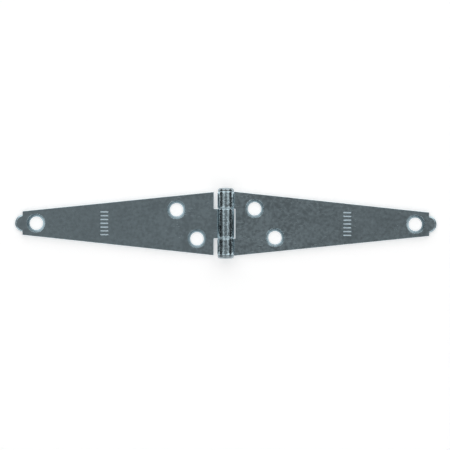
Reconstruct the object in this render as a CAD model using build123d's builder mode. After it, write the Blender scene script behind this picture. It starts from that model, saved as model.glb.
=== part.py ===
"""Light strap hinge: two tapered sheet-steel straps that turn on one headed pin.

Millimetres, +Z up. The origin lies on the mounting plane, under the middle of the pin. The straps
lie open and flat along X, the pin runs along Y, and the barrel and the countersinks face +Z.
The strap towards -X carries the centre knuckle, and the strap towards +X the two outer knuckles.
"""

from build123d import *
from math import sqrt
import os

os.makedirs("parts", exist_ok=True)

# Sheet, pin and barrel
SHEET = 1.4  # thickness of both straps
PIN_RADIUS = 1.59  # 1/8 in wire
PIN_CLEARANCE = 0.06  # radial, between the shank and the knuckles
BORE_RADIUS = PIN_RADIUS + PIN_CLEARANCE
BARREL_RADIUS = BORE_RADIUS + SHEET
PIN_HEIGHT = BARREL_RADIUS  # the knuckles touch the mounting plane
PIN_AXIS = Axis((0, 0, PIN_HEIGHT), (0, 1, 0))
SEAM_ANGLE = 27.0  # how far below the pin's height a curl ends, beside its own strap

# Strap outline, in distances from the pin's axis
STRAP_LENGTH = 76.2
SHOULDER = 73.4  # where the tapered edges end in square shoulders
SHOULDER_WIDTH = 8.54
TAPER = 0.2078  # width gained for each millimetre towards the pin
NOSE_RADIUS = 3.1  # the rounded nose past the shoulders
CENTRE_STRAP_END = 4.4  # end edges beside the centre knuckle's tab
OUTER_STRAP_END = 3.5  # edge of the slot that the centre knuckle turns in
TAB_OVERLAP = 0.4  # a knuckle's tab runs this far into its strap
TAB_LIMIT = CENTRE_STRAP_END + TAB_OVERLAP  # both straps' tabs lie nearer the pin than this
CORNER_ROUND = 0.25  # seen from the front
NOSE_ROUND = 0.7  # the punch draws the front edge of the nose down
EDGE_ROUND = 0.12  # punched edges, rounded by tumbling
SEAM_ROUND = 0.3  # along the end of a curl

# Knuckles along the pin
BARREL_LENGTH = SHOULDER_WIDTH + TAPER * (SHOULDER - OUTER_STRAP_END)  # the strap's width there
CENTRE_KNUCKLE = 10.6
KNUCKLE_GAP = 0.12
OUTER_KNUCKLE = (BARREL_LENGTH - CENTRE_KNUCKLE) / 2 - KNUCKLE_GAP
OUTER_KNUCKLE_MIDDLE = (BARREL_LENGTH - OUTER_KNUCKLE) / 2
CROWN_LENGTH = 0.9  # the rolled sheet draws in over this length at each end of a knuckle
CROWN_DROP = 0.3

# Countersunk screw holes of one strap: distance from the pin, offset across the strap
SCREW_HOLES = [(10.4, 5.45), (17.8, -5.0), (68.5, 0.0)]
HOLE_RADIUS = 2.39
SINK_RADIUS = 3.365
SINK_ANGLE = 82.0
SINK_RIM_ROUND = 0.12

# Stamped mark on the front of each strap: a ladder of plain bars
STAMP_DISTANCE = 43.85
STAMP_BARS = 7
STAMP_PITCH = 1.37
STAMP_BAR_LENGTH = 2.9
STAMP_BAR_WIDTH = 0.46
STAMP_DEPTH = 0.12

# Pin heads
HEAD_RADIUS = 2.95
HEAD_THICKNESS = 1.2
HEAD_GAP = 0.05  # between a head and the knuckle beside it
FACTORY_HEAD_ROUND = 0.9
PEENED_HEAD_ROUND = 0.8
PEENED_FACE_RADIUS = 1.7
PEENED_FACE_DROP = 0.12  # the hammered middle stands this far proud of the rim
HEAD_SEAT = BARREL_LENGTH / 2 + HEAD_GAP  # inner face of each head, from the middle of the pin

TOLERANCE = 0.01  # for picking edges by their place or radius


def strap_outline(side, end):
    """One strap seen from the front, from its end beside the pin to its nose; side is -1 or 1 along X."""
    end_half = (SHOULDER_WIDTH + TAPER * (SHOULDER - end)) / 2
    shoulder_half = SHOULDER_WIDTH / 2
    nose_half = sqrt(NOSE_RADIUS**2 - (SHOULDER + NOSE_RADIUS - STRAP_LENGTH) ** 2)
    with BuildSketch() as outline:
        with BuildLine():
            Polyline(
                (side * SHOULDER, nose_half),
                (side * SHOULDER, shoulder_half),
                (side * end, end_half),
                (side * end, -end_half),
                (side * SHOULDER, -shoulder_half),
                (side * SHOULDER, -nose_half),
            )
            ThreePointArc(
                (side * SHOULDER, -nose_half),
                (side * STRAP_LENGTH, 0),
                (side * SHOULDER, nose_half),
            )
        make_face()
    return outline.sketch


def tab_outline(side, end, length, middle):
    """The flat tab that joins a knuckle to its strap, from under the pin's axis."""
    reach = end + TAB_OVERLAP
    with BuildSketch() as tab:
        with Locations((side * reach / 2, middle)):
            Rectangle(reach, length)
    return tab.sketch


def curl_profile(side):
    """A curl seen along the pin: from under the pin, round its far side and back over the top."""
    sweep = -side * (270 + SEAM_ANGLE)
    with BuildSketch() as profile:
        with BuildLine():
            outside = CenterArc((0, PIN_HEIGHT), BARREL_RADIUS, -90, sweep)
            inside = CenterArc((0, PIN_HEIGHT), BORE_RADIUS, -90, sweep)
            Line(outside @ 1, inside @ 1)
            Line(outside @ 0, inside @ 0)
        make_face()
        seam = profile.vertices().filter_by_position(Axis.Y, SHEET, PIN_HEIGHT, (False, False))
        fillet(seam, SEAM_ROUND)
    return profile.sketch


def crowned_half(length, middle):
    """Half of a knuckle's lengthwise section, drawn in at both ends, to turn about the pin's axis."""
    low = middle - length / 2
    high = middle + length / 2
    rim = BARREL_RADIUS - CROWN_DROP
    with BuildSketch() as half:
        with BuildLine():
            Line((0, low), (rim, low))
            EllipticalCenterArc((rim, low + CROWN_LENGTH), CROWN_DROP, CROWN_LENGTH, -90, arc_size=90)
            Line((BARREL_RADIUS, low + CROWN_LENGTH), (BARREL_RADIUS, high - CROWN_LENGTH))
            EllipticalCenterArc((rim, high - CROWN_LENGTH), CROWN_DROP, CROWN_LENGTH, 0, arc_size=90)
            Line((rim, high), (0, high))
            Line((0, high), (0, low))
        make_face()
    return half.sketch


def nose_edge(blank):
    """Front edge of the strap's nose."""
    front = blank.edges().filter_by_position(Axis.Z, SHEET, SHEET)
    return front.filter_by(lambda edge: abs(edge.center().X) > SHOULDER + TOLERANCE)


def tab_corners(blank):
    """Upright edges along the tabs, where the punch leaves a rounded corner."""
    upright = blank.edges().filter_by(Axis.Z).filter_by(lambda edge: abs(edge.center().X) < TAB_LIMIT)
    return upright.filter_by(lambda edge: abs(edge.center().Y) < BARREL_LENGTH / 2 - CORNER_ROUND)


def face_edges(blank):
    """Front edges up to the shoulders, and all back edges, but not those across the ends of the tabs."""
    front = blank.edges().filter_by_position(Axis.Z, SHEET, SHEET)
    front = front.filter_by(lambda edge: abs(edge.center().X) < SHOULDER - TOLERANCE)
    back = blank.edges().filter_by_position(Axis.Z, 0, 0)
    return (front + back).filter_by(lambda edge: abs(edge.center().X) > TOLERANCE)


def sink_rims(strap):
    """Rims of the countersinks, on the front of a strap."""
    circles = strap.edges().filter_by(GeomType.CIRCLE).filter_by_position(Axis.Z, SHEET, SHEET)
    return circles.filter_by(lambda edge: abs(edge.radius - SINK_RADIUS) < TOLERANCE)


def head_rim(pin, end):
    """Outer rim of the pin's head at its +Y end (1) or its -Y end (-1)."""
    circles = pin.edges().filter_by(GeomType.CIRCLE)
    rims = circles.filter_by(lambda edge: edge.radius > HEAD_RADIUS - TOLERANCE)
    return rims.sort_by(Axis.Y)[-1 if end > 0 else 0]


def screw_places(side):
    """Centres of one strap's screw holes on its front; the two straps' patterns are half a turn apart."""
    return [Location((side * distance, side * offset, SHEET)) for distance, offset in SCREW_HOLES]


def stamp_bars(side):
    """The ladder of bars pressed into the front of one strap."""
    with BuildSketch(Plane.XY.offset(SHEET)) as bars:
        with Locations((side * STAMP_DISTANCE, 0)):
            with GridLocations(0, STAMP_PITCH, 1, STAMP_BARS):
                SlotOverall(STAMP_BAR_LENGTH, STAMP_BAR_WIDTH)
    return bars.sketch


def rolled_curl(side, length, middle):
    """One knuckle's curl, with its ends drawn in; it starts on the end face of its strap's tab."""
    with BuildPart() as curl:
        with BuildSketch(Plane.XZ.offset(-middle)):
            add(curl_profile(side))
        extrude(amount=length / 2, both=True)
        with BuildSketch(Plane.XY.offset(PIN_HEIGHT)):
            add(crowned_half(length, middle))
        revolve(axis=PIN_AXIS, mode=Mode.INTERSECT)
    return curl


centre_curl = rolled_curl(-1, CENTRE_KNUCKLE, 0)
outer_curls = [rolled_curl(1, OUTER_KNUCKLE, side * OUTER_KNUCKLE_MIDDLE) for side in (-1, 1)]

# Strap with the centre knuckle, towards -X
with BuildPart() as centre_knuckle_strap:
    with BuildSketch(Plane.XY):
        add(strap_outline(-1, CENTRE_STRAP_END))
        add(tab_outline(-1, CENTRE_STRAP_END, CENTRE_KNUCKLE, 0))
    extrude(amount=SHEET)
    fillet(nose_edge(centre_knuckle_strap), NOSE_ROUND)
    fillet(tab_corners(centre_knuckle_strap), CORNER_ROUND)
    fillet(face_edges(centre_knuckle_strap), EDGE_ROUND)
    add(centre_curl.part)
    with Locations(screw_places(-1)):
        CounterSinkHole(HOLE_RADIUS, SINK_RADIUS, SHEET, SINK_ANGLE)
    fillet(sink_rims(centre_knuckle_strap), SINK_RIM_ROUND)
    add(stamp_bars(-1))
    extrude(amount=-STAMP_DEPTH, mode=Mode.SUBTRACT)
centre_knuckle_strap.part.label = "centre_knuckle_strap"

# Strap with the two outer knuckles, towards +X
with BuildPart() as outer_knuckle_strap:
    with BuildSketch(Plane.XY):
        add(strap_outline(1, OUTER_STRAP_END))
        for middle in (-OUTER_KNUCKLE_MIDDLE, OUTER_KNUCKLE_MIDDLE):
            add(tab_outline(1, OUTER_STRAP_END, OUTER_KNUCKLE, middle))
    extrude(amount=SHEET)
    fillet(nose_edge(outer_knuckle_strap), NOSE_ROUND)
    fillet(tab_corners(outer_knuckle_strap), CORNER_ROUND)
    fillet(face_edges(outer_knuckle_strap), EDGE_ROUND)
    for curl in outer_curls:
        add(curl.part)
    with Locations(screw_places(1)):
        CounterSinkHole(HOLE_RADIUS, SINK_RADIUS, SHEET, SINK_ANGLE)
    fillet(sink_rims(outer_knuckle_strap), SINK_RIM_ROUND)
    add(stamp_bars(1))
    extrude(amount=-STAMP_DEPTH, mode=Mode.SUBTRACT)
outer_knuckle_strap.part.label = "outer_knuckle_strap"

# Pin: a headed rivet pushed through towards -Y, where its end is peened over
with BuildPart() as hinge_pin:
    with BuildSketch(Plane.XY.offset(PIN_HEIGHT)):
        with BuildLine():
            Polyline(
                (0, -HEAD_SEAT - HEAD_THICKNESS),
                (PEENED_FACE_RADIUS, -HEAD_SEAT - HEAD_THICKNESS + PEENED_FACE_DROP),
                (HEAD_RADIUS, -HEAD_SEAT - HEAD_THICKNESS + PEENED_FACE_DROP),
                (HEAD_RADIUS, -HEAD_SEAT),
                (PIN_RADIUS, -HEAD_SEAT),
                (PIN_RADIUS, HEAD_SEAT),
                (HEAD_RADIUS, HEAD_SEAT),
                (HEAD_RADIUS, HEAD_SEAT + HEAD_THICKNESS),
                (0, HEAD_SEAT + HEAD_THICKNESS),
                close=True,
            )
        make_face()
    revolve(axis=PIN_AXIS)
    fillet(head_rim(hinge_pin, 1), FACTORY_HEAD_ROUND)
    fillet(head_rim(hinge_pin, -1), PEENED_HEAD_ROUND)
hinge_pin.part.label = "hinge_pin"

export_step(centre_knuckle_strap.part, "parts/centre_knuckle_strap.step")
export_step(outer_knuckle_strap.part, "parts/outer_knuckle_strap.step")
export_step(hinge_pin.part, "parts/hinge_pin.step")
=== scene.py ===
"""Looks for the strap hinge: zinc-plated steel on a white sweep, seen from straight above."""

from math import cos, radians, sin

import bpy
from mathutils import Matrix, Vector


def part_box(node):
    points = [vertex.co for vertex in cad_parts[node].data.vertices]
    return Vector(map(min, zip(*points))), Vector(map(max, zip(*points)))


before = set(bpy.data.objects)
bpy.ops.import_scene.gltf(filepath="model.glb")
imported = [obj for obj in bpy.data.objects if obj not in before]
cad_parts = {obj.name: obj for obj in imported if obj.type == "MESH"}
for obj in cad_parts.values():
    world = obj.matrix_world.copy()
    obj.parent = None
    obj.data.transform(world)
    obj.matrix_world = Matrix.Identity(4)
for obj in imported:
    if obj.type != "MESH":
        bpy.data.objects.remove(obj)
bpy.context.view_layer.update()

MM = 0.001

# Half the length of the pin over its heads, in millimetres
PIN_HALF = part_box("hinge_pin")[1].y / MM

# Sizes of the straps and of the pin's heads, in millimetres
SHEET = 1.4
STAMP_DISTANCE = 43.85  # from the pin to the middle of the stamped bars
STAMP_HALF_LENGTH = 1.6  # half a bar, with a little to spare
STAMP_DEPTH = 0.12
HEAD_THICKNESS = 1.2

# Where the wear shows, in millimetres
HANDLED = (12.0, 48.0)  # from the pin, over which the extra wear of handling fades out
BARREL_TOP = (SHEET + 0.4, SHEET + 1.4)  # heights over which the rubbed part of the barrel fades in
TORN_EDGE = (0.75, 0.5)  # heights over which a clean cut turns into the torn lower part of an edge

# Pale colour painted on the floors of the stamped bars as a highlight
STAMP_HIGHLIGHT_TINT = (0.80, 0.93, 1.0, 1.0)


# ---------------------------------------------------------------- node helpers
class Nodes:
    """A small writer for one material's node tree. Places are in millimetres."""

    def __init__(self, name):
        self.material = bpy.data.materials.new(name)
        self.material.use_nodes = True
        self.tree = self.material.node_tree
        self.tree.nodes.clear()
        metres = self.add("ShaderNodeTexCoord").outputs["Object"]
        self.place = self.scaled(metres, (1 / MM, 1 / MM, 1 / MM))
        self.x, self.y, self.z = self.split(self.place)

    def add(self, kind, inputs=None, **settings):
        """A node of this kind; inputs are values, or output sockets to link from."""
        node = self.tree.nodes.new(kind)
        for name, value in settings.items():
            setattr(node, name, value)
        for name, value in (inputs or {}).items():
            self.feed(node.inputs[name], value)
        return node

    def feed(self, socket, value):
        if isinstance(value, bpy.types.NodeSocket):
            self.tree.links.new(value, socket)
        else:
            socket.default_value = value

    def split(self, vector):
        return self.add("ShaderNodeSeparateXYZ", {0: vector}).outputs

    def scaled(self, place, scale, turn=(0.0, 0.0, 0.0), shift=(0.0, 0.0, 0.0)):
        """Places turned, stretched and shifted, for grain and scratches."""
        inputs = {"Vector": place, "Scale": scale, "Rotation": turn, "Location": shift}
        return self.add("ShaderNodeMapping", inputs).outputs[0]

    def math(self, operation, first, second=0.0):
        return self.add("ShaderNodeMath", {0: first, 1: second}, operation=operation).outputs[0]

    def total(self, *terms):
        """Sum of (value, weight) pairs."""
        result = 0.0
        for value, weight in terms:
            inputs = {0: value, 1: weight, 2: result}
            result = self.add("ShaderNodeMath", inputs, operation="MULTIPLY_ADD").outputs[0]
        return result

    def product(self, *factors):
        result = factors[0]
        for factor in factors[1:]:
            result = self.math("MULTIPLY", result, factor)
        return result

    def ramp(self, value, low, high, start=0.0, end=1.0):
        """value from low..high mapped to start..end, and held there outside it."""
        inputs = {"Value": value, "From Min": low, "From Max": high, "To Min": start, "To Max": end}
        return self.add("ShaderNodeMapRange", inputs, clamp=True).outputs[0]

    def between(self, value, low, high, soft):
        """1 where value is between low and high, fading out over soft at each side."""
        rise = self.ramp(value, low - soft, low)
        fall = self.ramp(value, high, high + soft, 1.0, 0.0)
        return self.product(rise, fall)

    def mix(self, amount, first, second):
        """Mix of two colours."""
        node = self.add("ShaderNodeMix", data_type="RGBA")
        colours = [socket for socket in node.inputs if socket.type == "RGBA"]
        for socket, value in zip([node.inputs[0], *colours], [amount, first, second]):
            self.feed(socket, value)
        return [socket for socket in node.outputs if socket.type == "RGBA"][0]

    def noise(self, scale, detail=4.0, roughness=0.55, place=None):
        inputs = {"Vector": place or self.place, "Scale": scale, "Detail": detail, "Roughness": roughness}
        return self.add("ShaderNodeTexNoise", inputs).outputs[0]

    def scratches(self, angle, length, width, sparse, shift):
        """Mask of fine straight scratches at an angle in the straps' plane, in scattered patches.

        Only patches where the noise is over sparse have scratches, so a higher value leaves fewer.
        """
        stretch = (1 / length, 1 / width, 1 / width)
        lines = self.scaled(self.place, stretch, (0, 0, radians(angle)), (shift, shift, 0))
        marks = self.ramp(self.noise(1.0, 1.0, 0.4, lines), 0.66, 0.72)
        shifted = self.scaled(self.place, (1, 1, 1), shift=(shift, 0, 0))
        patches = self.ramp(self.noise(0.16, 1.0, 0.5, shifted), sparse, sparse + 0.06)
        return self.product(marks, patches)

    def specks(self, scale, size, share):
        """Mask of small round specks; share is how many cells of the pattern have one."""
        cells = self.add("ShaderNodeTexVoronoi", {"Vector": self.place, "Scale": scale, "Randomness": 1.0})
        chosen = self.ramp(self.split(cells.outputs["Color"])[0], 1 - share, 1 - share + 0.01)
        return self.product(chosen, self.ramp(cells.outputs["Distance"], size * 0.4, size, 1.0, 0.0))

    def upward(self):
        """1 where the surface faces straight up or down, 0 where it is upright."""
        normal = self.add("ShaderNodeNewGeometry").outputs["Normal"]
        return self.math("ABSOLUTE", self.split(normal)[2])

    def metal(self, colour, roughness, relief):
        """Bare metal whose relief is in millimetres."""
        bump = self.add("ShaderNodeBump", {"Strength": 1.0, "Distance": MM, "Height": relief})
        inputs = {"Base Color": colour, "Metallic": 1.0, "Roughness": roughness, "Normal": bump.outputs[0]}
        shader = self.add("ShaderNodeBsdfPrincipled", inputs)
        self.add("ShaderNodeOutputMaterial", {"Surface": shader.outputs[0]})
        return self.material


def shade(tint, factor):
    return (*[min(1.0, channel * factor) for channel in tint], 1.0)


# ---------------------------------------------------------------- materials
def plated_strap(name, tint, wear, shift):
    """Zinc-plated sheet: mottle, rolling grain along the strap, rubbed barrel, and stamped bars painted
    pale as a highlight.

    wear sets how uneven the plating's tone is and how much its scratches show.
    """
    n = Nodes(name)
    mottle = n.noise(0.9, 5.0, 0.62)
    clouds = n.noise(0.11, 3.0, 0.5)
    grain = n.noise(1.0, 3.0, 0.6, n.scaled(n.place, (0.22, 6.0, 2.0)))
    pits = n.noise(5.0, 2.0, 0.5)

    barrel = n.ramp(n.z, *BARREL_TOP)
    rubs = n.math("MAXIMUM", n.scratches(62, 1.0, 0.25, 0.25, 3.1), n.scratches(-38, 0.8, 0.2, 0.3, 8.7))
    rubs = n.product(rubs, barrel)

    steep_marks = n.scratches(68, 3.6, 0.14, 0.46, shift)
    low_marks = n.scratches(12, 5.0, 0.12, 0.58, shift + 5.0)
    specks = n.specks(0.5, 0.2, 0.04)
    distance = n.math("ABSOLUTE", n.x)
    handled = n.ramp(distance, *HANDLED, 2.0, 1.0)
    marks = n.product(n.total((steep_marks, 8 * wear), (low_marks, 4 * wear), (specks, 0.8)), handled)

    # The sunken floors of the bars lie just under the front of the strap
    low, high = STAMP_DISTANCE - STAMP_HALF_LENGTH, STAMP_DISTANCE + STAMP_HALF_LENGTH
    stamp = n.product(
        n.between(distance, low, high, 0.1),
        n.between(n.z, SHEET - STAMP_DEPTH - 0.02, SHEET - 0.02, 0.01),
    )

    # Cut edges of the sheet, whose faces are upright
    sides = n.ramp(n.upward(), 0.5, 0.1)
    torn = n.product(sides, n.ramp(n.z, *TORN_EDGE))
    shear_lines = n.noise(1.0, 3.0, 0.6, n.scaled(n.place, (7.0, 7.0, 0.5)))

    # Tone of the plating, more uneven where the strap is handled most
    tone = n.ramp(n.total((mottle, 0.7), (clouds, 0.3)), 0.36, 0.64, -0.5, 0.5)
    tone = n.total((tone, handled), (0.5, 1.0))
    colour = n.mix(tone, shade(tint, 1 - wear), shade(tint, 1 + wear))
    colour = n.mix(n.product(marks, 0.35), colour, shade(tint, 1.35))
    colour = n.mix(n.product(rubs, 0.7), colour, shade(tint, 1.5))
    colour = n.mix(n.product(torn, 0.5), colour, shade(tint, 0.72))
    # Painted highlight: the floors of the stamped bars are coloured pale, as if lit
    colour = n.mix(n.product(stamp, 0.9), colour, STAMP_HIGHLIGHT_TINT)

    roughness = n.total(
        (mottle, 0.04),
        (grain, 0.03),
        (marks, 0.04),
        (rubs, 0.08),
        (stamp, 0.36),
        (torn, 0.22),
        (1.0, 0.165),
    )
    relief = n.total(
        (grain, 0.0006),
        (pits, 0.0005),
        (mottle, 0.0012),
        (n.product(n.noise(0.8, 2.0, 0.5), barrel), 0.14),
        (rubs, -0.003),
        (n.product(shear_lines, sides), 0.02),
        (n.product(pits, torn), 0.03),
    )
    return n.metal(colour, roughness, relief)


def plated_pin(tint):
    """Zinc-plated wire: smooth shank, and heads with the dents of the die and the hammer."""
    n = Nodes("zinc_pin")
    mottle = n.noise(1.3, 5.0, 0.62)
    pits = n.noise(6.0, 2.0, 0.5)
    along = n.math("ABSOLUTE", n.y)
    head = n.ramp(along, PIN_HALF - HEAD_THICKNESS - 0.05, PIN_HALF - HEAD_THICKNESS + 0.05)
    peened = n.product(head, n.ramp(n.y, 0.0, -1.0))  # only the head towards -Y
    cells = n.add("ShaderNodeTexVoronoi", {"Vector": n.place, "Scale": 0.95}, feature="SMOOTH_F1")
    dents = cells.outputs["Distance"]
    drawn = n.noise(1.0, 3.0, 0.6, n.scaled(n.place, (4.0, 0.4, 4.0)))

    tone = n.ramp(mottle, 0.34, 0.66)
    colour = n.mix(tone, shade(tint, 0.93), shade(tint, 1.08))
    colour = n.mix(n.product(head, 0.8), colour, shade(tint, 0.8))
    colour = n.mix(n.product(peened, n.ramp(pits, 0.5, 0.7), 0.5), colour, shade(tint, 1.3))
    roughness = n.total((mottle, 0.10), (pits, 0.05), (head, 0.03), (peened, 0.08), (1.0, 0.13))
    relief = n.total(
        (n.product(dents, peened), 0.10),
        (n.product(n.noise(1.2, 3.0, 0.5), head), 0.05),
        (n.product(pits, head), 0.003),
        (drawn, 0.002),
    )
    return n.metal(colour, roughness, relief)


def dress(node, material):
    """Gives a CAD node this material all over."""
    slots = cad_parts[node].data.materials
    slots.clear()
    slots.append(material)


# The outer strap is the more worn one
dress("centre_knuckle_strap", plated_strap("zinc_centre_strap", (0.47, 0.59, 0.645), 0.12, 2.0))
dress("outer_knuckle_strap", plated_strap("zinc_outer_strap", (0.45, 0.56, 0.61), 0.22, 31.0))
dress("hinge_pin", plated_pin((0.46, 0.54, 0.58)))


# ---------------------------------------------------------------- floor
def white_sweep(reach=3.0):
    """A large matt white floor under the hinge, faintly lit from below like a light table."""
    mesh = bpy.data.meshes.new("white_sweep")
    corners = [(-reach, -reach, 0), (reach, -reach, 0), (reach, reach, 0), (-reach, reach, 0)]
    mesh.from_pydata(corners, [], [(0, 1, 2, 3)])
    floor = bpy.data.objects.new("white_sweep", mesh)
    bpy.context.scene.collection.objects.link(floor)
    n = Nodes("white_paper")
    fibre = n.noise(0.9, 3.0)
    colour = n.mix(fibre, (0.87, 0.87, 0.87, 1), (0.89, 0.89, 0.89, 1))
    inputs = {"Base Color": colour, "Roughness": 0.9, "Emission Color": colour, "Emission Strength": 0.50}
    shader = n.add("ShaderNodeBsdfPrincipled", inputs)
    n.add("ShaderNodeOutputMaterial", {"Surface": shader.outputs[0]})
    mesh.materials.append(n.material)
    floor.location.z = -0.02 * MM


white_sweep()


# ---------------------------------------------------------------- light
def softbox(name, azimuth, polar, size, power, distance=1.4):
    """A rectangular area light aimed at the pin. azimuth is from +X towards +Y; polar is from +Z."""
    data = bpy.data.lights.new(name, "AREA")
    data.shape = "RECTANGLE"
    data.size, data.size_y = size
    data.energy = power
    lamp = bpy.data.objects.new(name, data)
    bpy.context.scene.collection.objects.link(lamp)
    a, p = radians(azimuth), radians(polar)
    lamp.location = Vector((sin(p) * cos(a), sin(p) * sin(a), cos(p))) * distance
    lamp.rotation_euler = (-lamp.location).to_track_quat("-Z", "Y").to_euler()


# Mirrored pairs, right and left of the pin
for side, turn in (("right", 1), ("left", -1)):
    softbox("back_key_" + side, 90 - turn * 42, 36, (0.9, 0.8), 1.7)
    softbox("front_key_" + side, turn * 40 - 90, 50, (1.2, 1.2), 4.3)
    softbox("back_bank_" + side, 90 - turn * 24, 68, (1.15, 0.95), 4.8)
    softbox("side_strip_" + side, 90 - turn * 90, 32, (0.22, 0.5), 0.18)


def studio_world(zenith, horizon):
    """Dim grey overhead that darkens towards the horizon."""
    world = bpy.data.worlds.new("studio")
    world.use_nodes = True
    tree = world.node_tree
    height = tree.nodes.new("ShaderNodeSeparateXYZ")
    tree.links.new(tree.nodes.new("ShaderNodeTexCoord").outputs["Generated"], height.inputs[0])
    level = tree.nodes.new("ShaderNodeMapRange")
    level.interpolation_type = "SMOOTHSTEP"
    for name, value in {"From Min": 0.25, "From Max": 0.95, "To Min": horizon, "To Max": zenith}.items():
        level.inputs[name].default_value = value
    tree.links.new(height.outputs["Z"], level.inputs["Value"])
    tree.links.new(level.outputs[0], tree.nodes["Background"].inputs["Strength"])
    tree.nodes["Background"].inputs["Color"].default_value = (1, 1, 1, 1)
    bpy.context.scene.world = world


studio_world(0.2, 0.005)

# ---------------------------------------------------------------- camera
VIEW_WIDTH = 162.45 * MM  # across the frame, at the straps
VIEW_CENTRE = Vector((-0.2, -0.5, SHEET)) * MM
CAMERA_DISTANCE = 0.9
CAMERA_TILT = radians(2.0)  # from straight above, towards -Y
CAMERA_ROLL = radians(0.17)
SENSOR = 36.0

camera_data = bpy.data.cameras.new("camera")
camera_data.sensor_width = SENSOR
camera_data.lens = SENSOR * CAMERA_DISTANCE / VIEW_WIDTH
camera = bpy.data.objects.new("camera", camera_data)
bpy.context.scene.collection.objects.link(camera)
camera.location = VIEW_CENTRE + Vector((0, -sin(CAMERA_TILT), cos(CAMERA_TILT))) * CAMERA_DISTANCE
camera.rotation_euler = (CAMERA_TILT, 0, CAMERA_ROLL)
bpy.context.scene.camera = camera

scene = bpy.context.scene
scene.view_settings.view_transform = "Standard"
scene.view_settings.look = "None"
